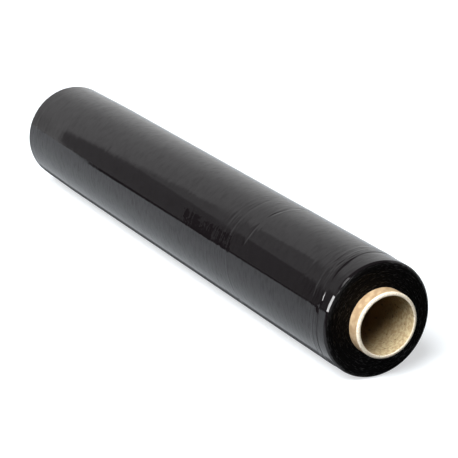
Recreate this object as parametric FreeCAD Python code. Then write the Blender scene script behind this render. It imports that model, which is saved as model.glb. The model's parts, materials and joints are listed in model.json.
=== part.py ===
"""A hand roll of black stretch wrap, lying on its side.

Two pieces: a spiral-wound paperboard tube, and the stretch film that is wound on it.
The roll's axis runs along X and +Z is up. The origin is on the surface that the roll
lies on, under the middle of the roll. All sizes are in millimetres.
"""

import FreeCAD
import Part

import math
import os

# Paperboard tube
CORE_BORE_DIAMETER = 38.1       # an inch and a half
CORE_WALL = 2.4
CORE_OVERHANG = 9.5             # how far the tube stands out of the film at each end
CORE_OUTER_EDGE_ROUND = 0.5     # the cut edge, worn round outside
CORE_INNER_EDGE_CHAMFER = 0.3   # the burr that the cut leaves, pressed in

# Wound film
FILM_WIDTH = 450.0
FILM_OUTER_DIAMETER = 76.0
FILM_SHOULDER = 2.0             # the last turns draw in and round the film's edge
WINDING_CLEARANCE = 0.02        # between the tube and the first turn
FLAT_SPOT_WIDTH = 9.0           # the soft film gives a little where it lies

# Turns that show on the film's two ends, as bands that wandered sideways in winding
TURN_BAND_PITCH = 1.6
TURN_BAND_DEPTH = 0.45          # the deepest groove between two bands
SHALLOWEST_BAND = 0.35          # the shallowest groove, as a share of the deepest
BAND_BEAT = 2.1                 # radians from one band to the next in the uneven depths

core_bore_radius = CORE_BORE_DIAMETER / 2
core_outer_radius = core_bore_radius + CORE_WALL
core_half_length = FILM_WIDTH / 2 + CORE_OVERHANG

film_inner_radius = core_outer_radius + WINDING_CLEARANCE
film_outer_radius = FILM_OUTER_DIAMETER / 2
film_half_width = FILM_WIDTH / 2

# The flat spot is a chord of the film's round section, and the axis lies that high
axis_height = math.sqrt(film_outer_radius ** 2 - (FLAT_SPOT_WIDTH / 2) ** 2)


def point(along, radius):
    """A point of a half-section, in the XZ plane, measured from the roll's axis."""
    return FreeCAD.Vector(along, 0, axis_height + radius)


def polyline(points):
    """The straight edges that join a list of points."""
    return [Part.LineSegment(a, b).toShape() for a, b in zip(points, points[1:])]


def wall(half_length, radius):
    """The line that turns into a round wall, from one end of the roll to the other."""
    return Part.LineSegment(point(-half_length, radius), point(half_length, radius)).toShape()


def turned(edges):
    """The solid that a closed half-section makes when it turns about the roll's axis."""
    section = Part.Face(Part.Wire(Part.__sortEdges__(edges)))
    return section.revolve(point(0, 0), FreeCAD.Vector(1, 0, 0), 360)


def edge_round(centre_along, centre_radius, size, side):
    """A quarter arc from an outer wall to an end face. side is +1 or -1 along X."""
    diagonal = size / math.sqrt(2)
    return Part.Arc(
        point(centre_along, centre_radius + size),
        point(centre_along + side * diagonal, centre_radius + diagonal),
        point(centre_along + side * size, centre_radius),
    ).toShape()


def core_tube():
    """The tube: one wall of glued paper plies, cut square at both ends."""
    edges = []
    flat_outer = core_outer_radius - CORE_OUTER_EDGE_ROUND
    flat_inner = core_bore_radius + CORE_INNER_EDGE_CHAMFER
    bore_half_length = core_half_length - CORE_INNER_EDGE_CHAMFER
    wall_half_length = core_half_length - CORE_OUTER_EDGE_ROUND
    for side in (1, -1):
        edges.append(edge_round(side * wall_half_length, flat_outer, CORE_OUTER_EDGE_ROUND, side))
        edges += polyline([
            point(side * core_half_length, flat_outer),
            point(side * core_half_length, flat_inner),
            point(side * bore_half_length, core_bore_radius),
        ])
    edges.append(wall(bore_half_length, core_bore_radius))
    edges.append(wall(wall_half_length, core_outer_radius))
    return turned(edges)


def turn_bands(side):
    """The film's end face as a line from the shoulder in to the tube: a crest and a groove
    for each band of turns, with grooves of uneven depth."""
    outermost = film_outer_radius - FILM_SHOULDER
    span = outermost - film_inner_radius
    count = max(1, round(span / TURN_BAND_PITCH))
    pitch = span / count
    line = []
    for band in range(count):
        crest = outermost - band * pitch
        unevenness = 0.5 + 0.5 * math.sin(BAND_BEAT * band + side)
        depth = TURN_BAND_DEPTH * (SHALLOWEST_BAND + (1 - SHALLOWEST_BAND) * unevenness)
        line.append(point(side * film_half_width, crest))
        line.append(point(side * (film_half_width - depth), crest - pitch / 2))
    line.append(point(side * film_half_width, film_inner_radius))
    return line


def film_roll():
    """The film: all its turns as one solid, round outside but for the flat spot."""
    shoulder_half_width = film_half_width - FILM_SHOULDER
    shoulder_radius = film_outer_radius - FILM_SHOULDER
    edges = []
    for side in (1, -1):
        edges.append(edge_round(side * shoulder_half_width, shoulder_radius, FILM_SHOULDER, side))
        edges += polyline(turn_bands(side))
    edges.append(wall(film_half_width, film_inner_radius))
    edges.append(wall(shoulder_half_width, film_outer_radius))
    roll = turned(edges)
    below_ground = Part.makeBox(
        FILM_WIDTH * 2,
        FILM_OUTER_DIAMETER * 2,
        film_outer_radius,
        FreeCAD.Vector(-FILM_WIDTH, -FILM_OUTER_DIAMETER, -film_outer_radius),
    )
    return roll.cut(below_ground)


os.makedirs("parts", exist_ok=True)
for name, shape in (("core_tube", core_tube()), ("film_roll", film_roll())):
    solid = shape.Solids[0]
    solid.exportStep(f"parts/{name}.step")
    print(name, "valid", solid.isValid(), "volume", round(solid.Volume, 1), "box", solid.BoundBox)
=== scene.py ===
import json
import math
import random
from collections import namedtuple

import bmesh
import bpy
from mathutils import Matrix, Vector, noise


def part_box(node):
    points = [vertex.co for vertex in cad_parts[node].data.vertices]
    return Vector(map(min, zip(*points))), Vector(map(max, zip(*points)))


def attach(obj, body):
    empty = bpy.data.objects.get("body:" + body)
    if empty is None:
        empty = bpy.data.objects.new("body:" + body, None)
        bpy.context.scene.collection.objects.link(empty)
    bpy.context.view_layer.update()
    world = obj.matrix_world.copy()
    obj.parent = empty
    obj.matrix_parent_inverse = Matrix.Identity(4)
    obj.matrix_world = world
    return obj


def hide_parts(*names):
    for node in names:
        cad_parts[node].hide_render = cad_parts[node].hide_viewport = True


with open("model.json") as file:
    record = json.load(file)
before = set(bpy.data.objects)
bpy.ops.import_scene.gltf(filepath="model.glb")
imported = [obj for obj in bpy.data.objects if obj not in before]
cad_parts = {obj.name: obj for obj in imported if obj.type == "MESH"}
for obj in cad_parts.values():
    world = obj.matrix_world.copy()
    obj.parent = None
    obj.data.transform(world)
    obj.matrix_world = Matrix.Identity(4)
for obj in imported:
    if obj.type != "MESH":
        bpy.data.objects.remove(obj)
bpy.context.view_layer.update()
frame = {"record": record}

MM = 0.001


# The tube: a core of tan paperboard, made by winding glued strips of paper in a spiral
# round a mandrel and sawing it to length. It stands out of the film at both ends, where
# handling has rounded its cut edge.

TUBE_STEPS = 144
TUBE_RIM_ROUND = 1.5 * MM
TUBE_LIP_ROUND = 0.5 * MM       # inside the bore
TUBE_RING_SPACING = 6 * MM      # between rings of the mesh along the walls
CUT_END_FUZZ = 0.05 * MM        # how far the sawn plies stand up and down
WALL_WAVES = 0.06 * MM          # how far the walls are from true
PLY = 0.4 * MM                  # one strip of the paper

WALL_DARK = (0.380, 0.250, 0.135, 1)        # warm tan outside
WALL_LIGHT = (0.525, 0.385, 0.230, 1)
LINING_DARK = (0.330, 0.235, 0.125, 1)      # yellower in the bore, and browner and darker farther in as painted shade
LINING_LIGHT = (0.490, 0.410, 0.245, 1)
LINING_PAINTED_SHADE = (0.400, 0.255, 0.110, 1)
SAWN_AND_RIM_HIGHLIGHT_DARK = (0.80, 0.70, 0.54, 1)           # pale where the plies are open, and over the rounded edges as a painted highlight
SAWN_AND_RIM_HIGHLIGHT_LIGHT = (0.92, 0.85, 0.71, 1)
FIBRE_BROWN = (0.42, 0.29, 0.17, 1)
GRAIN_BROWN = (0.36, 0.25, 0.14, 1)
SPECK_BROWN = (0.10, 0.065, 0.035, 1)

tube_low, tube_high = (Vector(corner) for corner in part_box("core_tube"))
tube_half_length = tube_high.x
tube_radius = (tube_high.z - tube_low.z) / 2
axis_height = (tube_high.z + tube_low.z) / 2
bore = next(mount for mount in frame["record"]["mounts"] if mount["name"] == "core_bore")
bore_radius = bore["dims"]["r_mm"] * MM


def half_section(corners):
    """A loop of wire in the XZ plane. Each corner gives its place along the axis, its
    radius, and how many cuts divide the wire from it to the next corner."""
    shape = bmesh.new()
    points = []
    for (along, radius, cuts), (next_along, next_radius, _) in zip(corners, corners[1:] + corners[:1]):
        for cut in range(cuts + 1):
            share = cut / (cuts + 1)
            here = (along + share * (next_along - along), 0, radius + share * (next_radius - radius))
            points.append(shape.verts.new(here))
    for point, next_point in zip(points, points[1:] + points[:1]):
        shape.edges.new((point, next_point))
    return shape


def turn(shape, steps):
    """Turn the wire about the X axis into a closed skin."""
    bmesh.ops.spin(
        shape,
        geom=shape.verts[:] + shape.edges[:],
        cent=(0, 0, 0),
        axis=(1, 0, 0),
        angle=2 * math.pi,
        steps=steps,
        use_merge=True,
    )
    bmesh.ops.recalc_face_normals(shape, faces=shape.faces)


def round_off(shape, along, radius, size, segments):
    """Round the sharp ring edges that lie at this place and radius, at both ends."""
    def on_ring(vert):
        return (
            abs(abs(vert.co.x) - along) < 0.01 * MM
            and abs(math.hypot(vert.co.y, vert.co.z) - radius) < 0.01 * MM
        )
    ring = [edge for edge in shape.edges if on_ring(edge.verts[0]) and on_ring(edge.verts[1])]
    bmesh.ops.bevel(
        shape,
        geom=ring,
        offset=size,
        offset_type="OFFSET",
        segments=segments,
        profile=0.5,
        affect="EDGES",
        material=-1,
    )


def push_out(vert, distance):
    """Move a point straight away from the X axis."""
    radius = math.hypot(vert.co.y, vert.co.z)
    vert.co.y *= 1 + distance / radius
    vert.co.z *= 1 + distance / radius


def finished_piece(name, shape, materials):
    """Lift the shape to the height of the roll's axis and make it an object."""
    bmesh.ops.translate(shape, verts=shape.verts, vec=(0, 0, axis_height))
    mesh = bpy.data.meshes.new(name)
    shape.to_mesh(mesh)
    shape.free()
    mesh.shade_smooth()
    for material in materials:
        mesh.materials.append(material)
    piece = bpy.data.objects.new(name, mesh)
    bpy.context.scene.collection.objects.link(piece)
    return piece


class Signal:
    """A socket of a node tree, so that shader maths reads as plain sums."""

    def __init__(self, tree, socket):
        self.tree = tree
        self.socket = socket

    def node(self, kind, settings=None, inputs=None, output=0):
        """Add a node: its settings first, then the values or links of its sockets."""
        made = self.tree.nodes.new("ShaderNode" + kind)
        for name, value in (settings or {}).items():
            setattr(made, name, value)
        for name, value in (inputs or {}).items():
            plug(self.tree, made.inputs[name], value)
        return Signal(self.tree, made.outputs[output] if made.outputs else None)

    def math(self, operation, *values):
        return self.node("Math", {"operation": operation}, dict(enumerate(values)))

    def __add__(self, other):
        return self.math("ADD", self, other)

    __radd__ = __add__

    def __sub__(self, other):
        return self.math("SUBTRACT", self, other)

    def __rsub__(self, other):
        return self.math("SUBTRACT", other, self)

    def __mul__(self, other):
        return self.math("MULTIPLY", self, other)

    __rmul__ = __mul__

    def __truediv__(self, other):
        return self.math("DIVIDE", self, other)

    def step(self, low, high):
        """0 below low, 1 above high, and smooth between. With high under low it falls."""
        mapped = {"Value": self, "From Min": min(low, high), "From Max": max(low, high)}
        rising = self.node("MapRange", {"interpolation_type": "SMOOTHSTEP"}, mapped)
        return rising if low < high else 1 - rising

    def blend(self, below, above):
        """A colour that runs from one to the other as this goes from 0 to 1. A Mix node's
        two colours are its sockets 6 and 7, and the mixed one is output 2."""
        mixed = {"Factor": self, 6: below, 7: above}
        return self.node("Mix", {"data_type": "RGBA"}, mixed, output=2)


def plug(tree, socket, value):
    """Give a socket a link or a value."""
    if isinstance(value, Signal):
        tree.links.new(value.socket, socket)
    else:
        socket.default_value = value


def new_material(name):
    """An empty material, and where a point lies on it, measured from the roll's middle."""
    material = bpy.data.materials.new(name)
    material.use_nodes = True
    tree = material.node_tree
    tree.nodes.clear()
    start = Signal(tree, None)
    place = start.node("TexCoord", output="Object")
    centred = start.node("Mapping", inputs={"Vector": place, "Location": (0, 0, -axis_height)})
    return material, centred


def shader(place, **sockets):
    """One principled shader. Socket names have _ in place of a space."""
    inputs = {name.replace("_", " "): value for name, value in sockets.items()}
    return place.node("BsdfPrincipled", inputs=inputs)


def surface(shading):
    """Close a material with the shader that it shows."""
    shading.node("OutputMaterial", inputs={"Surface": shading})


def around(place):
    """Split a point into its place along the roll, its radius, and the cosine and sine
    of its angle from the top."""
    parts = [place.node("SeparateXYZ", inputs={"Vector": place}, output=i) for i in range(3)]
    along, y, z = parts
    radius = along.math("SQRT", y * y + z * z)
    return along, radius, z / radius, y / radius


def even_noise(place, grains, detail):
    """Noise that is the same all ways, with this many grains to the metre."""
    return place.node("TexNoise", inputs={"Vector": place, "Scale": grains, "Detail": detail})


def stretched_noise(along, radius, cosine, sine, sizes, detail=2.0):
    """Noise whose grains have the given sizes: along the roll, in radius, and around it
    as a share of the radius."""
    long_size, deep_size, round_size = sizes
    joined = along.node("CombineXYZ", inputs={
        0: along / long_size + radius / deep_size,
        1: cosine / round_size,
        2: sine / round_size,
    })
    return along.node("TexNoise", inputs={"Vector": joined, "Scale": 1.0, "Detail": detail})


def bumped(height, distance, strength=1.0):
    """A surface normal from a height between 0 and 1."""
    return height.node("Bump", inputs={"Strength": strength, "Distance": distance, "Height": height})


def paperboard():
    """Tan paperboard: warm and matt outside, yellower and duller in the bore and browner
    farther in as painted shade, and pale where the saw has opened the plies, a pale that
    also covers the rounded edges as a painted highlight."""
    material, place = new_material("tan_paperboard")
    along, radius, cosine, sine = around(place)
    fibres = even_noise(place, 900.0, 3.0)
    clouds = even_noise(place, 240.0, 3.0)
    pulp = even_noise(place, 520.0, 4.0)
    speck = even_noise(place, 620.0, 0.0).step(0.725, 0.765)
    grain = stretched_noise(along, radius, cosine, sine, (9 * MM, 9 * MM, 0.03))
    plies = along.math("SINE", radius * (2 * math.pi / PLY))
    in_bore = radius.step(bore_radius + 0.5 * MM, bore_radius + 0.2 * MM)
    from_cut = tube_half_length - along.math("ABSOLUTE", along) + clouds * 0.8 * MM
    # The pale cut colour reaches over the rounded outer edge: open plies in part, and in part a painted
    # highlight.
    on_cut_and_rounded_rim = from_cut.step(2.3 * MM, 1.4 * MM)
    in_lip = from_cut.step(1.1 * MM, 0.6 * MM)

    wall = clouds.step(0.36, 0.64).blend(WALL_DARK, WALL_LIGHT)
    lining = pulp.step(0.36, 0.64).blend(LINING_DARK, LINING_LIGHT)
    # Painted shade: the lining turns browner and darker farther into the bore.
    lining = from_cut.step(6 * MM, 45 * MM).blend(lining, LINING_PAINTED_SHADE)
    # The sawn pale, used on the cut end and both rounded edges, is partly a painted highlight.
    sawn = (plies * 0.35 + fibres).step(0.2, 0.8).blend(SAWN_AND_RIM_HIGHLIGHT_DARK, SAWN_AND_RIM_HIGHLIGHT_LIGHT)
    color = in_bore.blend(on_cut_and_rounded_rim.blend(wall, sawn), in_lip.blend(lining, sawn))
    color = (fibres.step(0.30, 0.55) * 0.35 + 0.65).blend(FIBRE_BROWN, color)
    color = (grain.step(0.40, 0.30) * 0.16).blend(color, GRAIN_BROWN)
    color = (speck * in_bore * 0.6).blend(color, SPECK_BROWN)
    height = fibres * 0.6 + grain * 0.4 + on_cut_and_rounded_rim * plies * 0.3
    surface(shader(
        place,
        Base_Color=color,
        Roughness=0.82 + fibres * 0.12,
        Specular_IOR_Level=0.25,
        Normal=bumped(height, 0.12 * MM, 0.8),
    ))
    return material


def tube_shape():
    """The tube as a skin: bore, sawn ends and outer wall, a little out of true."""
    wall_cuts = round(2 * tube_half_length / TUBE_RING_SPACING)
    cut_end = (bore_radius + TUBE_LIP_ROUND + tube_radius - TUBE_RIM_ROUND) / 2
    shape = half_section([
        (-tube_half_length, bore_radius, 0),
        (-tube_half_length, cut_end, 0),
        (-tube_half_length, tube_radius, 0),
        (-tube_half_length + 2 * MM, tube_radius, wall_cuts),
        (tube_half_length - 2 * MM, tube_radius, 0),
        (tube_half_length, tube_radius, 0),
        (tube_half_length, cut_end, 0),
        (tube_half_length, bore_radius, 0),
        (tube_half_length - 2 * MM, bore_radius, wall_cuts),
        (-tube_half_length + 2 * MM, bore_radius, 0),
    ])
    turn(shape, TUBE_STEPS)
    round_off(shape, tube_half_length, tube_radius, TUBE_RIM_ROUND, 8)
    round_off(shape, tube_half_length, bore_radius, TUBE_LIP_ROUND, 3)
    for vert in shape.verts:
        radius = math.hypot(vert.co.y, vert.co.z)
        turned = Vector((vert.co.y, vert.co.z)) / radius
        side = math.copysign(1, vert.co.x)
        if abs(vert.co.x) > tube_half_length - TUBE_RIM_ROUND + 0.1 * MM:
            fuzz = noise.noise(Vector((radius / (0.35 * MM), turned.x * 5, turned.y * 5 + side)))
            vert.co.x -= side * CUT_END_FUZZ * (1 + fuzz)
        waves = noise.noise(Vector((vert.co.x / (30 * MM), turned.x * 1.5, turned.y * 1.5)))
        push_out(vert, WALL_WAVES * (waves - 1) / 2)
    return shape


tube = finished_piece("paper_tube", tube_shape(), [paperboard()])
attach(tube, "root")
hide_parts("core_tube")


# The film: several hundred turns of thin glossy black stretch film, wound tight on the
# tube until they are one firm body. The outer turn clings in fine bands and creases and
# stops short of the ends, its edge wandering, and the ends show the edges of all turns.

FILM_STEPS = 168
SKIN_DEPTH = 0.18 * MM          # the skin is this far inside the solid, to leave room for ridges
RIM_SET_BACK = 1.7 * MM         # how far the outer turns stop short of the end
RIM_SLOPE = 2.9 * MM            # and how deep the slope up to the end reaches
RIM_FACE_LONG = 1.3 * MM        # the outer turns' edge is drawn over in a face of this size
RIM_FACE_DEEP = 0.95 * MM
RIM_ROUND = 0.3 * MM
END_RINGS = 50
OUTER_TURN_STEP = 0.24          # mm: the last turns that stop short of the ends, as one step
OUTER_TURN_END = 17.5           # mm from the end, where they stop on top of the roll,
OUTER_TURN_SWING = 6.3          # how much nearer to the end they stop on the front,
OUTER_TURN_KINK = 3.2           # and how far they are drawn back at one place there
KINK_ANGLE = 73                 # degrees from the top
TURN_ROWS = 5                   # ridges behind that line
TURN_ROW_SPACING = 2.3          # mm
TAPER_START = -166              # mm from the middle, from where the film thins to the far end
TAPER = 0.012

FILM_BLACK = (0.0058, 0.0045, 0.0052, 1)
EDGE_BLACK = (0.0014, 0.0012, 0.0012, 1)
PATCH_START = (6 * MM, 50 * MM)     # where the patch of painted dark reflection comes in along the roll,
PATCH_END = (120 * MM, 90 * MM)     # where it goes out,
PATCH_TOP = (0.93, 1.06)            # and its edges in radians from the top of the roll
PATCH_FOOT = (1.31, 1.28)
GAP_ALONG = 58 * MM                 # a gap in the patch, where the film keeps its gloss
GAP_HALF_LENGTH = 4 * MM
GAP_ANGLE = 1.10
GAP_HALF_ANGLE = 0.08

Stretch = namedtuple("Stretch", "start spacing")
SKIN_STRETCHES = [              # how close the skin's rings stand, from the far end on
    Stretch(-219 * MM, 0.36 * MM),
    Stretch(-199 * MM, 3.6 * MM),
    Stretch(-99 * MM, 0.7 * MM),
    Stretch(-88 * MM, 3.6 * MM),
    Stretch(80 * MM, 0.45 * MM),
    Stretch(121 * MM, 2.5 * MM),
    Stretch(186 * MM, 0.7 * MM),
    Stretch(196 * MM, 0.36 * MM),
    Stretch(219 * MM, 1.0 * MM),
]

Crease = namedtuple("Crease", "along lean sway start end height width")
CREASES = [                     # lengths are in mm, lean is mm for a radian, angles are degrees
    Crease(-155, 0, 1.5, -60, 28, 0.080, 4.0),
    Crease(-94, 0, 0.5, -40, 42, -0.060, 0.9),
    Crease(-47, 6, 0.5, 0, 40, 0.080, 4.0),
    Crease(84, 0, 0.4, 6, 60, 0.035, 0.8),
    Crease(86.5, 0, 0.4, 12, 78, -0.070, 0.7),
    Crease(89, 0, 0.4, 16, 70, 0.035, 0.7),
    Crease(92, 9, 0.3, 70, 128, 0.100, 0.8),
    Crease(94.5, 1, 0.3, 10, 55, -0.070, 0.7),
    Crease(97, 0, 0.4, -30, 62, 0.040, 0.8),
    Crease(114.5, -2, 0.8, -45, 54, -0.170, 0.70),
    Crease(116.5, -2, 1.0, -45, 20, 0.040, 0.8),
    Crease(188, 0, 0.3, 38, 54, 0.060, 0.9),
    Crease(192, 2, 0.3, 20, 54, -0.045, 0.9),
]

FineBand = namedtuple("FineBand", "start end low high count")
FINE_BANDS = [                  # where short fine creases gather, in mm and degrees
    FineBand(82, 119, -30, 50, 34),
    FineBand(188, 214, -30, 60, 26),
    FineBand(82, 119, -180, 180, 24),
    FineBand(188, 214, -180, 180, 24),
]


def fine_creases():
    """Short creases scattered in the bands where the film was drawn most."""
    dice = random.Random(7)
    made = []
    for band in FINE_BANDS:
        for _ in range(band.count):
            start = dice.uniform(band.low, band.high)
            made.append(Crease(
                dice.uniform(band.start, band.end),
                dice.uniform(-9, 5),
                dice.uniform(0.2, 0.8),
                start,
                start + dice.uniform(6, 30),
                dice.choice((-1, 1)) * dice.uniform(0.02, 0.06),
                dice.uniform(0.4, 0.65),
            ))
    return made


film_high = Vector(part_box("film_roll")[1])
film_half_width = film_high.x
film_radius = film_high.y - SKIN_DEPTH
all_creases = CREASES + fine_creases()


def falls_within(angle, start, end, fade):
    """1 for an angle between start and end, all in degrees, fading to 0 outside."""
    middle = (start + end) / 2
    apart = abs((angle - middle + 180) % 360 - 180)
    return min(1.0, max(0.0, ((end - start) / 2 + fade - apart) / fade))


def crease_relief(crease, along, angle):
    """How far one crease lifts the skin at a place, in mm."""
    turned = math.radians(angle)
    wobble = noise.noise(Vector((math.cos(turned) * 5, math.sin(turned) * 5, crease.along)))
    place = crease.along + crease.lean * (turned - 0.5) + crease.sway * (math.sin(3 * turned) + wobble)
    off = (along - place) / crease.width
    if abs(off) > 3:
        return 0.0
    comes_and_goes = noise.noise(Vector((math.cos(turned) * 3, math.sin(turned) * 3, crease.along * 3)))
    strength = min(1.0, max(0.15, 0.65 + 1.4 * comes_and_goes))
    strength *= falls_within(angle, crease.start, crease.end, 10)
    return crease.height * strength * math.exp(-off * off)


def creases_near(along):
    """The creases that can reach this place along the roll at some angle."""
    return [
        crease for crease in all_creases
        if abs(along - crease.along) < 3 * (abs(crease.lean) + crease.width) + 2 * crease.sway
    ]


def outer_turn_relief(from_end, angle, side):
    """How the last turns stop short of an end, in mm: a step down with a small lip, and
    behind it ridges that follow the same wandering line and come and go. The step is
    faint at the far end."""
    turned = math.radians(angle)
    line = OUTER_TURN_END - OUTER_TURN_SWING * math.sin(turned) + 0.9 * math.sin(3 * turned + side)
    line += OUTER_TURN_KINK * math.exp(-((angle - KINK_ANGLE) / 3.5) ** 2)
    line += 0.5 * noise.noise(Vector((math.cos(turned) * 6, math.sin(turned) * 6, side)))
    behind = from_end - line
    step = OUTER_TURN_STEP * (1 if side > 0 else 0.2)
    relief = -step / (1 + math.exp(min(50, max(-50, 6 * behind))))
    for row in range(TURN_ROWS):
        x, y = math.cos(turned) * 2, math.sin(turned) * 2
        shift = 1.2 * noise.noise(Vector((x * 0.6, y * 0.6, row * 3.7 + side)))
        strength = max(0, noise.noise(Vector((x, y, row * 5.3 + side))) + 0.35)
        off = (behind - row * TURN_ROW_SPACING - shift) / (0.55 + 0.07 * row)
        if row == 0:
            strength = 0.5 + 0.5 * strength
        if abs(off) < 3:
            relief += 0.6 * step * strength * math.exp(-off * off)
    return relief


def skin_relief(along, angle, creases):
    """How far the outer turn stands from a true cylinder, in mm: broad bands where the
    film is a little thicker or thinner across its width, a slow unevenness, the creases,
    and the edges of the last turns near the ends. Places are in mm too."""
    turned = math.radians(angle)
    bands = 0.030 * noise.noise(Vector((along / 22, 0.4, 0.0)))
    bands += 0.008 * noise.noise(Vector((along / 6, 5.1, 0.0)))
    uneven = 0.035 * noise.noise(Vector((along / 60, math.cos(turned) * 1.5, math.sin(turned) * 1.5)))
    relief = bands + uneven - TAPER * max(0, TAPER_START - along)
    for crease in creases:
        relief += crease_relief(crease, along, angle)
    return relief + outer_turn_relief(film_half_width / MM - abs(along), angle, math.copysign(1, along))


def end_relief(radius, angle, side):
    """How far the turns' edges stand back from the end of the roll, in mm: groups of turns
    that wandered sideways in winding, and each turn a little by itself."""
    turned = math.radians(angle)
    x, y = math.cos(turned) * 0.2, math.sin(turned) * 0.2
    groups = noise.noise(Vector((radius / 1.4, x + side * 7, y)))
    turns = noise.noise(Vector((radius / 0.5, x * 5 + side * 3, y * 5)))
    return max(0.0, 0.2 + 0.25 * groups + 0.2 * turns)


def film_shape():
    """The film as a skin, with its ends, rims, creases and flat spot."""
    rim = film_half_width - RIM_SET_BACK
    rim_radius = film_radius - RIM_FACE_DEEP
    face_edge = rim - RIM_FACE_LONG
    outer_edge = face_edge - 2 * RIM_ROUND
    end_edge = film_radius - RIM_SLOPE
    corners = [
        (-film_half_width, tube_radius, END_RINGS),
        (-film_half_width, end_edge, 3),
        (-rim, rim_radius, 0),
        (-face_edge, film_radius, 0),
    ]
    stretches = [Stretch(-outer_edge, 1.0 * MM)] + SKIN_STRETCHES + [Stretch(outer_edge, 0)]
    for here, there in zip(stretches, stretches[1:]):
        cuts = round((there.start - here.start) / here.spacing) - 1
        corners.append((here.start, film_radius, cuts))
    corners += [
        (outer_edge, film_radius, 0),
        (face_edge, film_radius, 0),
        (rim, rim_radius, 3),
        (film_half_width, end_edge, END_RINGS),
        (film_half_width, tube_radius, 3),
    ]
    shape = half_section(corners)
    turn(shape, FILM_STEPS)
    round_off(shape, face_edge, film_radius, RIM_ROUND, 3)
    round_off(shape, rim, rim_radius, RIM_ROUND, 3)

    near = {}
    for vert in shape.verts:
        along = vert.co.x / MM
        ring = round(along, 2)
        if ring not in near:
            near[ring] = creases_near(along)
        radius = math.hypot(vert.co.y, vert.co.z)
        angle = math.degrees(math.atan2(-vert.co.y, vert.co.z))
        side = math.copysign(1, along)
        skin = min(1, max(0, (radius - end_edge) / RIM_SLOPE))
        if skin > 0:
            push_out(vert, skin * skin_relief(along, angle, near[ring]) * MM)
        if abs(vert.co.x) > film_half_width - 0.01 * MM and radius > tube_radius + 0.1 * MM:
            vert.co.x -= side * end_relief(radius / MM, angle, side) * MM
        vert.co.z = max(vert.co.z, -axis_height)
    for face in shape.faces:
        middle = face.calc_center_median()
        face.material_index = int(math.hypot(middle.y, middle.z) < rim_radius - RIM_ROUND)
    return shape


def dark_reflection_patch(along, radius, cosine, sine):
    """1 where a dark reflection is painted on the film by taking its gloss away: streaks that
    follow the turns, in a ragged patch that is fuller along its foot and has a gap."""
    angle = along.math("ARCTAN2", sine * -1, cosine)
    streaks = stretched_noise(along, radius, cosine, sine, (1.3 * MM, 40 * MM, 0.30), 1.0)
    blots = stretched_noise(along, radius, cosine, sine, (3.0 * MM, 40 * MM, 0.05), 2.0)
    above_foot = angle.step(*PATCH_FOOT)
    within = angle.step(*PATCH_TOP) * above_foot * along.step(*PATCH_START) * along.step(*PATCH_END)
    foot = angle.step(1.19, 1.25) * above_foot * along.step(52 * MM, 60 * MM)
    foot = foot * along.step(104 * MM, 100 * MM)
    gap = (along.math("ABSOLUTE", along - GAP_ALONG) / GAP_HALF_LENGTH).step(1.1, 0.7)
    gap = gap * (along.math("ABSOLUTE", angle - GAP_ANGLE) / GAP_HALF_ANGLE).step(1.1, 0.7)
    gap = gap.math("MAXIMUM", gap, along.step(72 * MM, 80 * MM) * angle.step(1.04, 1.08))
    fullness = within * (1 - gap * 0.21) + foot * 0.18
    return (fullness + streaks * 1.6 + blots * 1.2).step(2.13, 2.23)


def film_skin():
    """Glossy black film. Fine bands run round it, deeper where the film was drawn most,
    and a faint haze. In one ragged patch it is dulled as a painted dark reflection."""
    material, place = new_material("glossy_black_film")
    along, radius, cosine, sine = around(place)
    fine = stretched_noise(along, radius, cosine, sine, (1.1 * MM, 40 * MM, 0.30), 2.0)
    broad = stretched_noise(along, radius, cosine, sine, (5 * MM, 40 * MM, 0.5), 2.0)
    grain = even_noise(place, 700.0, 2.0)
    from_end = film_half_width - along.math("ABSOLUTE", along)
    drawn = along.step(66 * MM, 76 * MM) * along.step(106 * MM, 100 * MM)
    drawn = drawn.math("MAXIMUM", drawn, from_end.step(45 * MM, 25 * MM))
    # Painted dark reflection: the film's gloss is taken away in one patch.
    painted_dark_reflection = dark_reflection_patch(along, radius, cosine, sine)
    leaning = along + cosine * 9 * MM
    haze = stretched_noise(leaning, radius, cosine, sine, (1.6 * MM, 40 * MM, 0.16), 3.0)
    haze_and_dark_reflection = painted_dark_reflection.math("MAXIMUM", painted_dark_reflection, haze.step(0.42, 0.74) * 0.28)

    height = fine * (0.7 + drawn * 3.0) + broad * 1.5 + grain * 0.6
    look = {
        "Base_Color": FILM_BLACK,
        "Roughness": 0.010 + grain * 0.015,
        "IOR": 1.47,
        "Normal": bumped(height, 0.016 * MM),
    }
    glossy = shader(place, **look)
    dull = shader(place, Specular_IOR_Level=0.02, **look)
    surface(place.node("MixShader", inputs={0: haze_and_dark_reflection, 1: glossy, 2: dull}))
    return material


def turn_edges():
    """The edges of the turns: the same black film, seen edge on, so nearly matt, with
    short shiny streaks that follow the turns."""
    material, place = new_material("black_film_edges")
    along, radius, cosine, sine = around(place)
    turns = stretched_noise(along, radius, cosine, sine, (50 * MM, 0.50 * MM, 0.10), 2.0)
    groups = stretched_noise(along, radius, cosine, sine, (50 * MM, 1.6 * MM, 0.6), 1.0)
    shine = turns.step(0.52, 0.66) * groups.step(0.34, 0.54)
    look = {"Base_Color": EDGE_BLACK, "Normal": bumped(turns + groups, 0.5 * MM)}
    matt = shader(place, Roughness=0.45, Specular_IOR_Level=0.05, **look)
    shiny = shader(place, Roughness=0.28, Specular_IOR_Level=0.55, **look)
    surface(place.node("MixShader", inputs={0: shine, 1: matt, 2: shiny}))
    return material


film = finished_piece("wound_film", film_shape(), [film_skin(), turn_edges()])
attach(film, "root")
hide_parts("film_roll")


# The table: a plain pale board under the roll, with a matt coat. The camera sees white
# and the roll's shadow. What the film mirrors ends at the board's edges.

TABLE_REACH = 4.0
TABLE_PALE = (0.46, 0.48, 0.50, 1)
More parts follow.
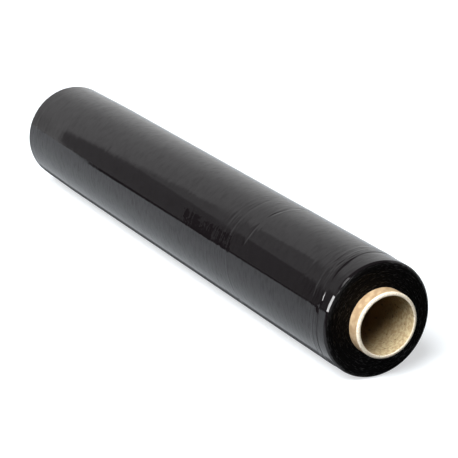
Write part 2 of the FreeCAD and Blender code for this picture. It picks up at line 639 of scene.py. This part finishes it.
# The dark colour also paints the shadow in the strip close under the roll.
TABLE_DARK = (0.015, 0.015, 0.015, 1)
TABLE_GLOW = (0.98, 0.99, 1.0, 1)
TABLE_LIFT = 0.58               # what the pale board lacks of white, for the camera
TABLE_END = 0.240               # the board ends here, beyond the roll's near end,
TABLE_FAR_END = -0.74           # and here, but only in front of a line that leads away
TABLE_LINE = Vector((0.49, -0.87, 0.018))       # a, b and c of that line, a x + b y + c = 0
SHADE_FRONT = -0.025            # the strip close under the roll gets a painted shadow, from here
SHADE_BACK = 0.025              # to here


def table_top():
    """A matt pale surface, dark past the board's edges for all but the camera, and with a
    painted shadow in the strip close under the roll, also for all but the camera.
    """
    material = bpy.data.materials.new("pale_table")
    material.use_nodes = True
    tree = material.node_tree
    tree.nodes.clear()
    start = Signal(tree, None)
    camera_ray = start.node("LightPath", output="Is Camera Ray")
    place = start.node("TexCoord", output="Object")
    along, across = (start.node("SeparateXYZ", inputs={"Vector": place}, output=i) for i in range(2))
    beyond = along.step(TABLE_END - 0.01, TABLE_END + 0.02)
    past = along.step(TABLE_FAR_END + 0.01, TABLE_FAR_END - 0.01)
    in_front = along * TABLE_LINE.x + across * TABLE_LINE.y + TABLE_LINE.z
    past = past * in_front.step(-0.002, 0.002)
    # Painted shadow: the strip close under the roll is darkened for all but the camera.
    under = across.step(SHADE_FRONT - 0.003, SHADE_FRONT + 0.001)
    under = under * across.step(SHADE_BACK + 0.005, SHADE_BACK - 0.005)
    dark = beyond.math("MAXIMUM", beyond, past)
    dark = dark.math("MAXIMUM", dark, under * 0.75) * (1 - camera_ray)
    matt = start.node("BsdfDiffuse", inputs={"Color": dark.blend(TABLE_PALE, TABLE_DARK)})
    glow = start.node("Emission", inputs={"Color": TABLE_GLOW, "Strength": camera_ray * TABLE_LIFT})
    both = start.node("AddShader", inputs={0: matt, 1: glow})
    start.node("OutputMaterial", inputs={"Surface": both})
    return material


floor_shape = bmesh.new()
bmesh.ops.create_circle(floor_shape, cap_ends=True, segments=64, radius=TABLE_REACH)
floor_mesh = bpy.data.meshes.new("floor")
floor_shape.to_mesh(floor_mesh)
floor_shape.free()
floor = bpy.data.objects.new("floor", floor_mesh)
bpy.context.scene.collection.objects.link(floor)
floor_mesh.materials.append(table_top())


# The studio: pale nearly all round, brightest behind the roll, with a dimmer side to the
# left of the camera that the glossy film mirrors as a dark band, and two soft lamps.

STUDIO_TINT = (0.985, 0.995, 1.0, 1)
PALE = 0.72                     # levels that the glossy film mirrors, where white is 1
BACK_GLOW = 0.18                # more of it behind the roll
BEHIND = Vector((-0.83, 0.46, 0.20))
DIM_SIDE = 0.42                 # the dimmer side,
DARK_FOOT = 0.17                # how much darker its lower part is,
DARK_FOOT_DEEPER = 0.07         # and how much more so away from its edge
CEILING_LOSS = 0.90             # shares of the light that are missing from the ceiling,
CORNER_LOSS = 0.80              # from the corner of the dark foot,
NEAR_SIDE_LOSS = 0.75           # and from the side that the camera stands on

DIM_EDGE_LOW = Vector((0.463, -0.855, 0.235))       # these point across the dim side's edge,
DIM_EDGE_HIGH = Vector((0.496, -0.734, 0.463))      # from the pale studio into the dimness
DIM_SIDE_TOP = (48, 38)         # degrees above the horizon
DARK_FOOT_TOP = (21.4, 20.2)
CEILING_START = (37, 48)

ROOM_LIGHT = 0.16               # what lights matt things from all round,
KEY_LIGHT = 18.5                # and from this way
KEY = Vector((0.32, -0.56, 0.76))


def seen(start):
    """1 for a ray that looks at a thing, straight, mirrored or through glass."""
    rays = [start.node("LightPath", output=name) for name in
            ("Is Camera Ray", "Is Glossy Ray", "Is Transmission Ray")]
    return rays[0].math("MAXIMUM", rays[0].math("MAXIMUM", rays[0], rays[1]), rays[2])


def toward(parts, way):
    """How far a direction, given as its three parts, points this way."""
    return parts[0] * way.x + parts[1] * way.y + parts[2] * way.z


def between_heights(upward, heights):
    """How far the upward part of a direction is from the first height to the second, from
    0 to 1. The heights are in degrees above the horizon."""
    low, high = (math.sin(math.radians(height)) for height in heights)
    return upward.step(low, high)


def studio():
    """A world that shows white to the camera and a studio to the glossy film, and lights
    matt things from one side and a little from all round."""
    world = bpy.data.worlds.new("studio")
    bpy.context.scene.world = world
    world.use_nodes = True
    tree = world.node_tree
    tree.nodes.clear()
    start = Signal(tree, None)
    way = start.node("TexCoord", output="Generated")
    parts = [start.node("SeparateXYZ", inputs={"Vector": way}, output=i) for i in range(3)]
    nearward, _, upward = parts
    depth = way.math("MAXIMUM", toward(parts, DIM_EDGE_LOW), toward(parts, DIM_EDGE_HIGH))
    dim = nearward.step(0.5, 0.2) * nearward.step(-0.887, -0.882) * depth.step(-0.004, 0.004)
    dim = dim * between_heights(upward, DIM_SIDE_TOP)
    dark = dim * between_heights(upward, DARK_FOOT_TOP)
    corner = dark * depth.step(0.175, 0.20)
    level = PALE + toward(parts, BEHIND).step(0.87, 0.98) * BACK_GLOW
    level = level * (1 - between_heights(upward, CEILING_START) * CEILING_LOSS)
    level = dim.math("MINIMUM", level, 1 - dim * (1 - DIM_SIDE))
    level = level - dark * (DARK_FOOT + depth.step(0.0, 0.14) * DARK_FOOT_DEEPER)
    level = level * (1 - corner * CORNER_LOSS)
    level = level * (1 - nearward.step(0.2, 0.5) * NEAR_SIDE_LOSS)
    camera_ray = start.node("LightPath", output="Is Camera Ray")
    looks = seen(start)
    as_light = ROOM_LIGHT + toward(parts, KEY).step(0.90, 0.985) * KEY_LIGHT
    strength = looks * (camera_ray + (1 - camera_ray) * level) + (1 - looks) * as_light
    background = start.node("Background", inputs={"Color": STUDIO_TINT, "Strength": strength})
    start.node("OutputWorld", inputs={"Surface": background})


def lamp(name, width, height, radiance, way, distance, target):
    """A soft lamp that faces the target from the given way. Only glossy things show it:
    the studio lights what is matt."""
    light = bpy.data.lights.new(name, "AREA")
    light.shape = "RECTANGLE"
    light.size = width
    light.size_y = height
    light.energy = radiance * math.pi * width * height
    holder = bpy.data.objects.new(name, light)
    way = Vector(way).normalized()
    holder.location = target + way * distance
    holder.rotation_euler = way.to_track_quat("Z", "Y").to_euler()
    holder.visible_camera = False
    holder.visible_diffuse = False
    bpy.context.scene.collection.objects.link(holder)


studio()
near_end = Vector((film_half_width, 0, axis_height))
lamp(
    "strip",
    width=1.00,
    height=0.55,
    radiance=20.0,
    way=(-0.08, -0.93, 0.34),
    distance=1.2,
    target=near_end,
)
lamp(
    "overhead",
    width=0.30,
    height=0.40,
    radiance=3.0,
    way=(0.30, -0.48, 0.83),
    distance=1.2,
    target=near_end,
)


# The camera: it looks down along the roll from beyond its near end.

CAMERA_TURN = math.radians(61.4)
CAMERA_TILT = math.radians(19.6)
LENS = 157.8
SENSOR = 36.0
NEAR_END_RIGHT = 2.39           # of the near end from the camera, in film radii
NEAR_END_BELOW = 1.46
NEAR_END_AWAY = 31.94

right = Vector((math.cos(CAMERA_TURN), math.sin(CAMERA_TURN), 0))
ahead = Vector((
    -math.sin(CAMERA_TURN) * math.cos(CAMERA_TILT),
    math.cos(CAMERA_TURN) * math.cos(CAMERA_TILT),
    -math.sin(CAMERA_TILT),
))
above = right.cross(ahead)
offset = right * NEAR_END_RIGHT - above * NEAR_END_BELOW + ahead * NEAR_END_AWAY

lens = bpy.data.cameras.new("camera")
lens.lens = LENS
lens.sensor_width = SENSOR
camera = bpy.data.objects.new("camera", lens)
turn_matrix = Matrix((right, above, -ahead)).transposed()
camera.matrix_world = Matrix.Translation(near_end - offset * film_high.y) @ turn_matrix.to_4x4()
bpy.context.scene.collection.objects.link(camera)
bpy.context.scene.camera = camera

bpy.context.scene.view_settings.view_transform = "Standard"
